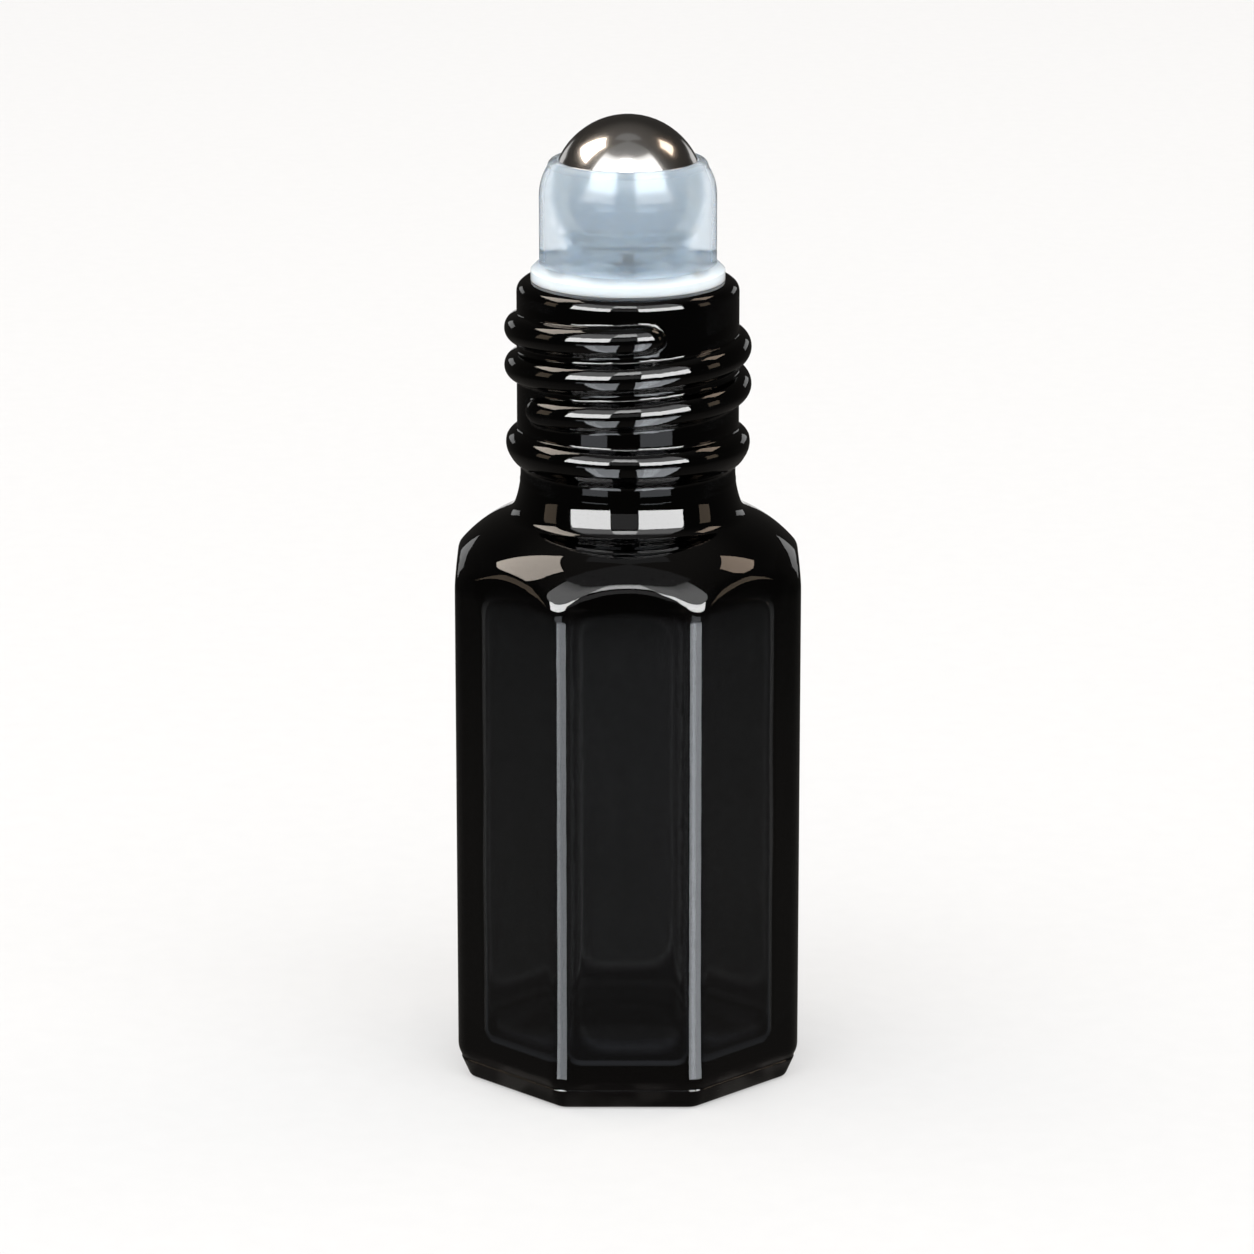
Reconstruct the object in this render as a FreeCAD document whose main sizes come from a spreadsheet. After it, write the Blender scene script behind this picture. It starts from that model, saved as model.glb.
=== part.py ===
import FreeCAD, Part
import math
import os
import Sketcher

# Roll on bottle: an octagonal glass bottle, its moulded roller housing and the steel roller ball.
# Millimetres, +Z up, origin at the centre of the face that the bottle stands on, front towards -Y.
doc = FreeCAD.newDocument("roll_on_bottle")

# Driving sizes, each written once. The comment says what the size is on the object.
DRIVING_SIZES = [
    # glass body
    ("flat_width", 18.2, "across two opposite flats of the octagon"),
    ("corner_round", 1.5, "rounding of the eight upright corners"),
    ("lip_height", 43.0, "from the standing face to the top of the glass lip"),
    ("dome_round", 6.5, "radius of the shoulder's profile"),
    ("dome_overreach", 1.37, "how far the shoulder's widest circle would stand outside the flats"),
    ("arch_round", 1.0, "rounding of the arched edges where the shoulder meets the flats"),
    ("heel_inset", 1.05, "how far the standing face lies inside the flats"),
    ("heel_rise", 1.9, "height of the bevel round the base"),
    ("heel_round", 1.2, "rounding where the bevel meets the flats"),
    ("rest_round", 0.35, "rounding of the edge of the standing face"),
    ("pushup_width", 11.0, "diameter of the hollow under the base"),
    ("pushup_depth", 0.5, "depth of the hollow under the base"),
    # glass neck
    ("finish_dia", 11.7, "wall of the neck that carries the thread"),
    ("neck_relief", 0.15, "how far the wall under the bead draws in by the time it meets the shoulder"),
    ("neck_sweep", 2.0, "hollow curve from the shoulder into the neck"),
    ("neck_below_bead", 3.18, "from the middle of the bead down to the top of the shoulder's curve"),
    ("bead_stand", 0.65, "how far the transfer bead stands out of the neck"),
    ("bead_width", 2.3, "height of the bead along the neck"),
    ("bead_drop", 8.9, "from the lip down to the middle of the bead"),
    ("lip_round", 0.65, "outer rounding of the lip"),
    ("mouth_bevel", 0.3, "inner bevel of the lip"),
    # inside of the glass
    ("glass_wall", 1.85, "thickness of the flats and the shoulder"),
    ("glass_floor", 3.0, "thickness of the base"),
    ("neck_wall", 1.7, "thickness of the neck"),
    ("inside_corner_round", 2.3, "upright corners of the cavity"),
    ("inside_floor_round", 1.8, "foot of the cavity"),
    ("inside_bevel", 0.9, "bevel where the cavity turns up into the neck"),
    # roller ball and its socket
    ("ball_dia", 8.0, "steel ball"),
    ("ball_clearance", 0.06, "radial gap between the ball and its socket"),
    ("ball_undercut", 0.3, "how far the rim reaches in over the ball's widest circle"),
    ("ball_floor_gap", 0.3, "from the bottom of the ball to the housing floor"),
    # roller housing
    ("cup_wall", 0.59, "wall round the ball's widest circle"),
    ("rim_land", 0.15, "flat width of the rim"),
    ("rim_round", 0.35, "outer rounding of the rim"),
    ("rim_taper", 1.9, "height over which the cup draws in to its rim"),
    ("seat_drop", 2.1, "from the ball's centre down to the edge of the socket"),
    ("well_dia", 6.0, "well under the ball, at its floor"),
    ("floor_rise", 0.35, "top of the housing floor above the lip"),
    ("floor_thickness", 0.8, "housing floor"),
    ("feed_dia", 2.4, "central feed hole"),
    ("slot_width", 0.8, "feed slots that cross the central hole"),
    ("slot_margin", 0.4, "floor left between a slot's end and the wall"),
    ("flange_overhang", 0.45, "how far the flange stands out round the cup"),
    ("flange_edge", 0.7, "height of the flange's outer edge"),
    ("flange_slope", 0.2, "fall of the flange's top from the cup to the edge"),
    ("flange_bevel", 0.2, "bevel of the flange's upper edge"),
    ("plug_length", 6.0, "plug below the flange"),
    ("plug_wall", 0.8, "wall of the hollow plug"),
    ("plug_clearance", 0.03, "radial gap between the sealing rings and the bore"),
    ("ring_height", 0.15, "how far the ridge of a sealing ring stands out of the plug"),
    ("ring_width", 0.7, "height of a sealing ring along the plug"),
    ("ring_spacing", 1.4, "from one sealing ring to the next"),
    ("ring_drop", 1.2, "from the flange down to the first sealing ring"),
    ("lead_length", 0.9, "tapered end of the plug"),
    ("lead_inset", 0.35, "how far that taper draws in"),
    # allowance for cuts
    ("overrun", 1.0, "how far a cutting profile runs past the surface it cuts"),
]

# Sizes that follow from the driving ones, as spreadsheet formulas.
WORKED_SIZES = [
    ("flat_reach", "flat_width / 2"),
    ("dome_reach", "flat_reach + dome_overreach"),
    ("dome_centre", "dome_reach - dome_round"),
    ("bead_level", "lip_height - bead_drop"),
    ("dome_top", "bead_level - neck_below_bead"),
    ("dome_level", "dome_top - dome_round"),
    ("finish_reach", "finish_dia / 2"),
    ("neck_reach", "finish_reach - neck_relief"),
    ("dome_share", "dome_round / (dome_round + neck_sweep)"),
    ("sweep_across", "neck_reach + neck_sweep - dome_centre"),
    ("sweep_up", "sqrt((dome_round + neck_sweep) ^ 2 - sweep_across ^ 2)"),
    ("sweep_level", "dome_level + sweep_up"),
    ("sweep_foot_reach", "dome_centre + sweep_across * dome_share"),
    ("sweep_foot_level", "dome_level + sweep_up * dome_share"),
    ("bead_round", "(bead_width ^ 2 / 4 + bead_stand ^ 2) / (2 * bead_stand)"),
    ("bead_foot", "bead_level - bead_width / 2"),
    ("bead_head", "bead_level + bead_width / 2"),
    ("lip_edge_level", "lip_height - lip_round"),
    ("lip_edge_reach", "finish_reach - lip_round"),
    ("pushup_reach", "pushup_width / 2"),
    ("inside_reach", "flat_reach - glass_wall"),
    ("inside_dome_round", "dome_round - glass_wall"),
    ("inside_dome_reach", "dome_centre + inside_dome_round"),
    ("bore_reach", "finish_reach - neck_wall"),
    ("inside_share", "inside_dome_round / (inside_dome_round + inside_bevel)"),
    ("inside_across", "bore_reach + inside_bevel - dome_centre"),
    ("inside_up", "sqrt((inside_dome_round + inside_bevel) ^ 2 - inside_across ^ 2)"),
    ("bore_foot_level", "dome_level + inside_up"),
    ("inside_foot_reach", "dome_centre + inside_across * inside_share"),
    ("inside_foot_level", "dome_level + inside_up * inside_share"),
    ("mouth_level", "lip_height - mouth_bevel"),
    ("mouth_reach", "bore_reach + mouth_bevel"),
    ("above_lip", "lip_height + overrun"),
    ("column_top", "above_lip + overrun"),
    ("inside_height", "column_top - glass_floor"),
    ("ball_reach", "ball_dia / 2"),
    ("socket_reach", "ball_reach + ball_clearance"),
    ("opening_reach", "ball_reach - ball_undercut"),
    ("cup_reach", "socket_reach + cup_wall"),
    ("flange_reach", "max(cup_reach; bore_reach) + flange_overhang"),
    ("ring_reach", "bore_reach - plug_clearance"),
    ("plug_reach", "ring_reach - ring_height"),
    ("plug_inside", "plug_reach - plug_wall"),
    ("plug_tip", "plug_reach - lead_inset"),
    ("well_reach", "well_dia / 2"),
    ("feed_reach", "feed_dia / 2"),
    ("slot_reach", "min(well_reach; plug_inside) - slot_margin"),
    ("rim_reach", "opening_reach + rim_land"),
    ("rim_side_reach", "rim_reach + rim_round"),
    # heights of the housing above the lower end of its plug
    ("flange_level", "plug_length + flange_edge"),
    ("flange_top", "flange_level + flange_slope"),
    ("flange_side_level", "flange_level - flange_bevel"),
    ("flange_top_reach", "flange_reach - flange_bevel"),
    ("floor_level", "plug_length + floor_rise"),
    ("floor_under", "floor_level - floor_thickness"),
    ("ball_level", "floor_level + ball_floor_gap + ball_reach"),
    ("seat_level", "ball_level - seat_drop"),
    ("seat_reach", "sqrt(socket_reach ^ 2 - seat_drop ^ 2)"),
    ("rim_level", "ball_level + sqrt(socket_reach ^ 2 - opening_reach ^ 2)"),
    ("rim_side_level", "rim_level - rim_round"),
    ("taper_level", "rim_level - rim_taper"),
    ("taper_inset", "cup_reach - rim_side_reach"),
    ("taper_height", "rim_taper - rim_round"),
    ("taper_round", "(taper_height ^ 2 + taper_inset ^ 2) / (2 * taper_inset)"),
    ("above_floor", "floor_level + overrun"),
    ("slot_depth", "floor_thickness + 2 * overrun"),
    ("slot_side", "slot_width / 2"),
    # where the housing and the ball sit in the bottle
    ("plug_end", "lip_height - plug_length"),
    ("ball_height", "plug_end + ball_level"),
]

OCTAGON_SIDES = 8
CROSSED_SLOTS = 2
SEALING_RINGS = 3
UPRIGHT_SHARE = 0.999
MATCH_SHARE = 0.001

# the sealing rings, counted down from the flange
for ring in range(SEALING_RINGS):
    WORKED_SIZES += [
        (f"ring_level_{ring}", f"plug_length - ring_drop - {ring} * ring_spacing"),
        (f"ring_foot_{ring}", f"ring_level_{ring} - ring_width / 2"),
        (f"ring_head_{ring}", f"ring_level_{ring} + ring_width / 2"),
    ]


def make_sheet():
    """Put the driving sizes and the worked sizes into one spreadsheet, one alias a row."""
    sheet = doc.addObject("Spreadsheet::Sheet", "Sizes")
    for row, (alias, size, meaning) in enumerate(DRIVING_SIZES, start=1):
        sheet.set(f"A{row}", str(size))
        sheet.set(f"B{row}", meaning)
        sheet.setAlias(f"A{row}", alias)
    for row, (alias, formula) in enumerate(WORKED_SIZES, start=len(DRIVING_SIZES) + 1):
        sheet.set(f"A{row}", "=" + formula)
        sheet.setAlias(f"A{row}", alias)
    doc.recompute()
    return sheet


sheet = make_sheet()


def size(alias):
    """The present value of a size, in millimetres."""
    return float(sheet.get(alias))


def bind(item, target, alias):
    """Bind a property or a sketch constraint to a size."""
    item.setExpression(target, f"Sizes.{alias}")


def new_body(name):
    return doc.addObject("PartDesign::Body", name)


def new_sketch(body, name, role, level=None):
    """A sketch on one of the body's own origin planes, lifted to a named level."""
    sketch = body.newObject("Sketcher::SketchObject", name)
    plane = next(item for item in body.Origin.OriginFeatures if item.Role == role)
    sketch.AttachmentSupport = [(plane, "")]
    sketch.MapMode = "FlatFace"
    if level:
        bind(sketch, "AttachmentOffset.Base.z", level)
    return sketch


def bind_datum(sketch, kind, places, value, alias):
    """Add a dimension to a sketch and bind it to a size."""
    index = sketch.addConstraint(Sketcher.Constraint(kind, *places, value))
    sketch.setExpression(f"Constraints[{index}]", f"Sizes.{alias}")


def outline(sketch, corners):
    """Draw a closed profile through corners given as (reach, level[, radius, side]).

    reach and level name sizes, or are None on an axis. radius names the radius of the arc that
    leads to the corner, and side is +1 where the arc's centre lies left of that direction.
    """
    count = len(corners)
    points = []
    for corner in corners:
        across = size(corner[0]) if corner[0] else 0
        up = size(corner[1]) if corner[1] else 0
        points.append(FreeCAD.Vector(across, up, 0))
    for index, corner in enumerate(corners):
        start = points[index - 1]
        end = points[index]
        if len(corner) == 2:
            sketch.addGeometry(Part.LineSegment(start, end))
            continue
        radius = size(corner[2])
        chord = end - start
        left = FreeCAD.Vector(-chord.y, chord.x, 0).normalize()
        depth = math.sqrt(max(radius ** 2 - chord.Length ** 2 / 4, 0))
        centre = (start + end) / 2 + left * depth * corner[3]
        middle = centre - left * radius * corner[3]
        sketch.addGeometry(Part.Arc(start, middle, end))
    ends = []
    for index, corner in enumerate(corners):
        # an arc is stored anticlockwise, so a clockwise one runs from its second end
        turned = len(corner) > 2 and corner[3] < 0
        ends.append((2, 1) if turned else (1, 2))
    for index in range(count):
        following = (index + 1) % count
        sketch.addConstraint(Sketcher.Constraint(
            "Coincident", index, ends[index][1], following, ends[following][0]))
    for index, corner in enumerate(corners):
        place = (index, ends[index][1])
        if corner[0]:
            bind_datum(sketch, "DistanceX", (-1, 1, *place), points[index].x, corner[0])
        else:
            sketch.addConstraint(Sketcher.Constraint("PointOnObject", *place, -2))
        if corner[1]:
            bind_datum(sketch, "DistanceY", (-1, 1, *place), points[index].y, corner[1])
        else:
            sketch.addConstraint(Sketcher.Constraint("PointOnObject", *place, -1))
        if len(corner) > 2:
            bind_datum(sketch, "Radius", (index,), size(corner[2]), corner[2])


def octagon(sketch, reach):
    """Draw a regular octagon about the origin, with flats square to X and Y, by its flats' reach."""
    step = 2 * math.pi / OCTAGON_SIDES
    vertex_reach = size(reach) / math.cos(step / 2)
    vertices = []
    for index in range(OCTAGON_SIDES):
        angle = (index - 0.5) * step
        vertices.append(FreeCAD.Vector(vertex_reach * math.cos(angle), vertex_reach * math.sin(angle), 0))
    for index in range(OCTAGON_SIDES):
        sketch.addGeometry(Part.LineSegment(vertices[index], vertices[(index + 1) % OCTAGON_SIDES]))
    around = sketch.addGeometry(
        Part.Circle(FreeCAD.Vector(), FreeCAD.Vector(0, 0, 1), vertex_reach), True)
    sketch.addConstraint(Sketcher.Constraint("Coincident", around, 3, -1, 1))
    for index in range(OCTAGON_SIDES):
        following = (index + 1) % OCTAGON_SIDES
        sketch.addConstraint(Sketcher.Constraint("Coincident", index, 2, following, 1))
        sketch.addConstraint(Sketcher.Constraint("PointOnObject", index, 1, around))
        if index:
            sketch.addConstraint(Sketcher.Constraint("Equal", 0, index))
    sketch.addConstraint(Sketcher.Constraint("Vertical", 0))
    bind_datum(sketch, "DistanceX", (-1, 1, 0, 1), size(reach), reach)


def rectangle(sketch, across, up):
    """Draw a rectangle centred on the origin, by its half width and half height."""
    right = size(across)
    top = size(up)
    corners = [(right, top), (-right, top), (-right, -top), (right, -top)]
    for index, corner in enumerate(corners):
        following = corners[(index + 1) % len(corners)]
        sketch.addGeometry(Part.LineSegment(FreeCAD.Vector(*corner, 0), FreeCAD.Vector(*following, 0)))
    for index in range(len(corners)):
        following = (index + 1) % len(corners)
        sketch.addConstraint(Sketcher.Constraint("Coincident", index, 2, following, 1))
        sketch.addConstraint(Sketcher.Constraint("Vertical" if index % 2 else "Horizontal", index))
    sketch.addConstraint(Sketcher.Constraint("Symmetric", 0, 1, 2, 1, -1, 1))
    bind_datum(sketch, "DistanceX", (-1, 1, 0, 1), right, across)
    bind_datum(sketch, "DistanceY", (-1, 1, 0, 1), top, up)


def turned(body, kind, name, sketch):
    """A Revolution or a Groove of a profile, once round the upright axis."""
    feature = body.newObject(f"PartDesign::{kind}", name)
    feature.Profile = sketch
    feature.ReferenceAxis = (sketch, ["V_Axis"])
    feature.Angle = 360
    doc.recompute()
    return feature


def rounded(body, name, base, edges, radius):
    """Round the named edges of the feature before."""
    feature = body.newObject("PartDesign::Fillet", name)
    feature.Base = (base, edges)
    bind(feature, "Radius", radius)
    doc.recompute()
    return feature


def edges_where(feature, test):
    """Names of a feature's edges that pass a test."""
    return [f"Edge{number}" for number, edge in enumerate(feature.Shape.Edges, start=1) if test(edge)]


def is_upright(edge):
    return isinstance(edge.Curve, Part.Line) and abs(edge.Curve.Direction.z) > UPRIGHT_SHARE


def is_level_with(height):
    """A test for edges that lie wholly at one height."""
    slack = MATCH_SHARE * size("flat_width")

    def test(edge):
        box = edge.BoundBox
        return abs(box.ZMin - height) < slack and abs(box.ZMax - height) < slack
    return test


def is_between(edge, low, high):
    """Whether an edge lies wholly between two named heights."""
    slack = MATCH_SHARE * size("flat_width")
    return edge.BoundBox.ZMin > size(low) + slack and edge.BoundBox.ZMax < size(high) - slack


def expect_less(before, after):
    """A cut that misses the solid shows no error, so its volume is compared."""
    if not after.Shape.Volume < before.Shape.Volume:
        raise RuntimeError(f"{after.Name} removed nothing")


def joined(kind, name, base, tool):
    """A Part boolean of two solids."""
    item = doc.addObject(f"Part::{kind}", name)
    item.Base = base
    item.Tool = tool
    doc.recompute()
    return item


def octagonal_column(body, name, reach, level, height, corner):
    """A column on a rounded octagon: the flats, and its eight upright corners rounded."""
    base = new_sketch(body, name + "Outline", "XY_Plane", level)
    octagon(base, reach)
    column = body.newObject("PartDesign::Pad", name + "Column")
    column.Profile = base
    bind(column, "Length", height)
    doc.recompute()
    return rounded(body, name + "Corners", column, edges_where(column, is_upright), corner)


def make_glass_bottle():
    """A rounded octagonal column and a turned form share the glass, and a like pair is its cavity.

    Where the turned shoulder comes down through the octagon it leaves an arch on each flat.
    """
    column = new_body("OuterColumn")
    corners = octagonal_column(column, "Outer", "flat_reach", None, "column_top", "corner_round")
    bevel = column.newObject("PartDesign::Chamfer", "HeelBevel")
    bevel.Base = (corners, edges_where(corners, is_level_with(0)))
    bevel.ChamferType = "Two distances"
    bind(bevel, "Size", "heel_rise")
    bind(bevel, "Size2", "heel_inset")
    doc.recompute()
    heel = rounded(column, "HeelEdge", bevel, edges_where(bevel, is_level_with(size("heel_rise"))),
                   "heel_round")
    rest = rounded(column, "RestEdge", heel, edges_where(heel, is_level_with(0)), "rest_round")
    pushup_sketch = new_sketch(column, "PushupProfile", "XZ_Plane")
    outline(pushup_sketch, [
        (None, None),
        ("pushup_reach", None),
        (None, "pushup_depth"),
    ])
    pushup = turned(column, "Groove", "Pushup", pushup_sketch)
    expect_less(rest, pushup)

    form = new_body("OuterForm")
    form_sketch = new_sketch(form, "OuterProfile", "XZ_Plane")
    outline(form_sketch, [
        (None, None),
        ("dome_reach", None),
        ("dome_reach", "dome_level"),
        ("sweep_foot_reach", "sweep_foot_level", "dome_round", 1),
        ("neck_reach", "sweep_level", "neck_sweep", -1),
        ("finish_reach", "bead_foot"),
        ("finish_reach", "bead_head", "bead_round", 1),
        ("finish_reach", "lip_edge_level"),
        ("lip_edge_reach", "lip_height", "lip_round", 1),
        (None, "lip_height"),
    ])
    turned(form, "Revolution", "OuterTurning", form_sketch)

    inside_column = new_body("InsideColumn")
    inside_corners = octagonal_column(
        inside_column, "Inside", "inside_reach", "glass_floor", "inside_height", "inside_corner_round")
    rounded(inside_column, "InsideFloor", inside_corners,
            edges_where(inside_corners, is_level_with(size("glass_floor"))), "inside_floor_round")

    inside_form = new_body("InsideForm")
    inside_sketch = new_sketch(inside_form, "InsideProfile", "XZ_Plane")
    outline(inside_sketch, [
        (None, None),
        ("inside_dome_reach", None),
        ("inside_dome_reach", "dome_level"),
        ("inside_foot_reach", "inside_foot_level", "inside_dome_round", 1),
        ("bore_reach", "bore_foot_level"),
        ("bore_reach", "mouth_level"),
        ("mouth_reach", "lip_height"),
        ("mouth_reach", "above_lip"),
        (None, "above_lip"),
    ])
    turned(inside_form, "Revolution", "InsideTurning", inside_sketch)

    outer = joined("Common", "GlassOuter", column, form)
    arches = doc.addObject("Part::Fillet", "ArchEdges")
    arches.Base = outer
    arches.Edges = [(number, size("arch_round"), size("arch_round"))
                    for number, edge in enumerate(outer.Shape.Edges, start=1)
                    if is_between(edge, "dome_level", "sweep_foot_level")]
    doc.recompute()
    inside = joined("Common", "GlassInside", inside_column, inside_form)
    bottle = joined("Cut", "GlassBottle", arches, inside)
    bottle.Label = "glass_bottle"
    return bottle


def make_roller_housing():
    """One moulding: a cup that holds the ball, a flange on the lip and a hollow ringed plug."""
    housing = new_body("RollerHousing")
    housing.Label = "roller_housing"
    bind(housing, "Placement.Base.z", "plug_end")
    rings = []
    for ring in reversed(range(SEALING_RINGS)):
        rings += [
            ("plug_reach", f"ring_foot_{ring}"),
            ("ring_reach", f"ring_level_{ring}"),
            ("plug_reach", f"ring_head_{ring}"),
        ]
    sketch = new_sketch(housing, "HousingProfile", "XZ_Plane")
    outline(sketch, [
        ("plug_inside", None),
        ("plug_tip", None),
        ("plug_reach", "lead_length"),
        *rings,
        ("plug_reach", "plug_length"),
        ("flange_reach", "plug_length"),
        ("flange_reach", "flange_side_level"),
        ("flange_top_reach", "flange_level"),
        ("cup_reach", "flange_top"),
        ("cup_reach", "taper_level"),
        ("rim_side_reach", "rim_side_level", "taper_round", 1),
        ("rim_reach", "rim_level", "rim_round", 1),
        ("opening_reach", "rim_level"),
        ("seat_reach", "seat_level", "socket_reach", -1),
        ("well_reach", "floor_level"),
        ("feed_reach", "floor_level"),
        ("feed_reach", "floor_under"),
        ("plug_inside", "floor_under"),
    ])
    moulding = turned(housing, "Revolution", "HousingTurning", sketch)

    slot_sketch = new_sketch(housing, "SlotOutline", "XY_Plane", "above_floor")
    rectangle(slot_sketch, "slot_reach", "slot_side")
    slot = housing.newObject("PartDesign::Pocket", "FeedSlot")
    slot.Profile = slot_sketch
    bind(slot, "Length", "slot_depth")
    doc.recompute()
    expect_less(moulding, slot)
    slots = housing.newObject("PartDesign::PolarPattern", "FeedSlots")
    slots.Originals = [slot]
    slots.Axis = (slot_sketch, ["N_Axis"])
    slots.Angle = 360 / (2 * CROSSED_SLOTS)
    slots.Occurrences = CROSSED_SLOTS
    housing.Tip = slots
    doc.recompute()
    expect_less(slot, slots)
    return housing


def make_roller_ball():
    """A plain steel ball, centred in the socket of the housing."""
    ball = doc.addObject("Part::Sphere", "RollerBall")
    ball.Label = "roller_ball"
    bind(ball, "Radius", "ball_reach")
    bind(ball, "Placement.Base.z", "ball_height")
    doc.recompute()
    return ball


def check_document():
    """Stop on any object that failed to build."""
    for item in doc.Objects:
        if "Invalid" in item.State or "Error" in item.State:
            raise RuntimeError(f"{item.Name} failed: {item.State}")


def write_parts(parts):
    """Write each sub-part to its own file, named by its label."""
    for part in parts:
        if part.Shape.isNull() or not part.Shape.isValid() or len(part.Shape.Solids) != 1:
            raise RuntimeError(f"{part.Label} is not one valid solid")
    os.makedirs("parts", exist_ok=True)
    for part in parts:
        part.Shape.exportStep(f"parts/{part.Label}.step")
        print(part.Label, round(part.Shape.Volume, 2), "mm3")


sub_parts = [make_glass_bottle(), make_roller_housing(), make_roller_ball()]
doc.recompute()
check_document()
write_parts(sub_parts)
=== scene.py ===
import math

import bpy
import numpy as np
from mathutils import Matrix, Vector


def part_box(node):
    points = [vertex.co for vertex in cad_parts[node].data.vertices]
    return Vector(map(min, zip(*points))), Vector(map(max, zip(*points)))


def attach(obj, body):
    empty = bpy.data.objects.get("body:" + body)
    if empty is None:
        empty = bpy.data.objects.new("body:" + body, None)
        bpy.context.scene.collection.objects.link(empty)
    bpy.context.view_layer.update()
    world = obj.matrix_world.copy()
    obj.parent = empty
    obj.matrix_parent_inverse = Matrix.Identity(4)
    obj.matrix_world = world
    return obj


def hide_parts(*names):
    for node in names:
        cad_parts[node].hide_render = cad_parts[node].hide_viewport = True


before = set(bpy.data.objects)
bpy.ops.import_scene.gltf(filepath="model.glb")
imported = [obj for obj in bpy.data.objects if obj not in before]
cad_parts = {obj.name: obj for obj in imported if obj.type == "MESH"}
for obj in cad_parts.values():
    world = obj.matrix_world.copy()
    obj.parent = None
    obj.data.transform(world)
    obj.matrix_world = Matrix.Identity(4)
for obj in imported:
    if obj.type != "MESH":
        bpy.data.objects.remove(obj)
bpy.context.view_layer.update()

MM = 0.001

# The frame gives the bottle's main sizes, in metres.
glass_low, glass_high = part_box("glass_bottle")
FLAT_REACH = glass_high.x
LIP_LEVEL = glass_high.z

# Glass body
SIDES = 8
CORNER_ROUND = 1.5 * MM
CORNER_MIDDLE = (FLAT_REACH - CORNER_ROUND) * math.tan(math.pi / SIDES)
DOME_ROUND = 6.5 * MM
DOME_CENTRE = FLAT_REACH + 1.37 * MM - DOME_ROUND
ARCH_SOFTNESS = 0.2 * MM
ARCH_LEAN = 0.1 * MM
ARCH_LEAN_FOOT = 26.8 * MM
ARCH_LEAN_TOP = 28.4 * MM
BEAD_LEVEL = LIP_LEVEL - 8.9 * MM
DOME_TOP = BEAD_LEVEL - 3.18 * MM
DOME_LEVEL = DOME_TOP - DOME_ROUND
FOOT_REACH = FLAT_REACH - 0.65 * MM
REST_ROUND = 0.35 * MM
PARTING_REACH = FLAT_REACH - 0.23 * MM
PARTING_LEVEL = 1.08 * MM
PARTING_FIN = 0.09 * MM
HEEL_TOP = 1.9 * MM
PUSHUP_REACH = 5.5 * MM
PUSHUP_DEPTH = 0.5 * MM

# Glass neck
FINISH_REACH = 5.85 * MM
NECK_REACH = 5.68 * MM
NECK_SWEEP = 1.0 * MM
FLARE_ROUND = 5.0 * MM
FLARE_END = math.radians(20)
SWEEP_CENTRE = NECK_REACH + FLARE_ROUND * (1 - math.cos(FLARE_END)) + NECK_SWEEP * math.cos(FLARE_END)
DOME_END = math.acos((SWEEP_CENTRE - DOME_CENTRE) / (DOME_ROUND + NECK_SWEEP))
SWEEP_LEVEL = DOME_LEVEL + (DOME_ROUND + NECK_SWEEP) * math.sin(DOME_END)
FLARE_FOOT = SWEEP_LEVEL - NECK_SWEEP * math.sin(FLARE_END)
FLARE_LEVEL = FLARE_FOOT + FLARE_ROUND * math.sin(FLARE_END)
SEAM_LEVEL = 32.3 * MM
SEAM_STAND = 0.018 * MM
SEAM_HALF = 0.09 * MM
BEAD_STAND = 0.65 * MM
BEAD_HALF = 1.0 * MM
THREAD_STAND = 0.65 * MM
THREAD_HALF = 0.8 * MM
THREAD_PITCH = 2.0 * MM
THREAD_START = math.radians(-48.6)
THREAD_END = math.radians(725)
THREAD_END_DROP = 2.07 * MM
THREAD_NOSE = 1.8
RIDGE_BLEND = 0.16 * MM
LIP_ROUND = 0.65 * MM
MOUTH_ROUND = 0.3 * MM
LIP_GAP = 0.01 * MM

# Inside of the glass
GLASS_WALL = 2.2 * MM
INSIDE_REACH = FLAT_REACH - GLASS_WALL
INSIDE_CORNER = 1.2 * MM
INSIDE_DOME_ROUND = DOME_ROUND - GLASS_WALL
INSIDE_DOME_LEVEL = DOME_LEVEL - 0.78 * MM
INSIDE_SOFTNESS = 0.5 * MM
INSIDE_SWEEP = 0.9 * MM
INSIDE_FLOOR = 1.9 * MM
FLOOR_ROUND = 0.9 * MM
BORE_REACH = FINISH_REACH - 1.7 * MM
BLOWN_WAVE = 0.05 * MM
# The inside's tint is a map of painted light: each flat's window gets a grey middle and a light rim, the
# corners and the cavity's floor get painted shade, and the window darkens under the arch as painted
# shade.
WINDOW_HALF = 2.82 * MM
WINDOW_SHIFT = 0.15 * MM
WINDOW_FOOT = 2.9 * MM
WINDOW_HEAD = 27.4 * MM
WINDOW_ROUND = 1.8 * MM
WINDOW_RIM = 0.13 * MM
WINDOW_RIM_IN = 1.5 * WINDOW_RIM
WINDOW_FADE = 0.2 * MM
WINDOW_SHADE_SPAN = 3.0 * MM
WINDOW_PAINTED_LEVEL = 0.5
HEAD_PAINTED_SHADE = 0.45
FLOOR_PAINTED_LEVEL = 0.35

# Columns of the bottle's mesh in one side of the octagon, close together round the corners
CORNER_SPAN = math.radians(14)
CORNER_COLUMNS = 22
FLAT_COLUMNS = 10
NECK_RINGS = 140

# Camera
CAMERA_PLACE = Vector((0, -289.57, 103.40)) * MM
CAMERA_AIM = Vector((-0.05, 0, 24.07)) * MM
CAMERA_LENS = 162.0
SENSOR_WIDTH = 36.0


def steps(count):
    """Shares from just above 0 to 1, as a column."""
    return (np.arange(count) + 1)[:, None] / count


def smooth_least(a, b, softness):
    """The lesser of two lengths, with the change-over rounded."""
    near = np.maximum(softness - np.abs(a - b), 0) / softness
    return np.minimum(a, b) - near ** 2 * softness / 4


def smooth_most(a, b, softness):
    return -smooth_least(-a, -b, softness)


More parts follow.
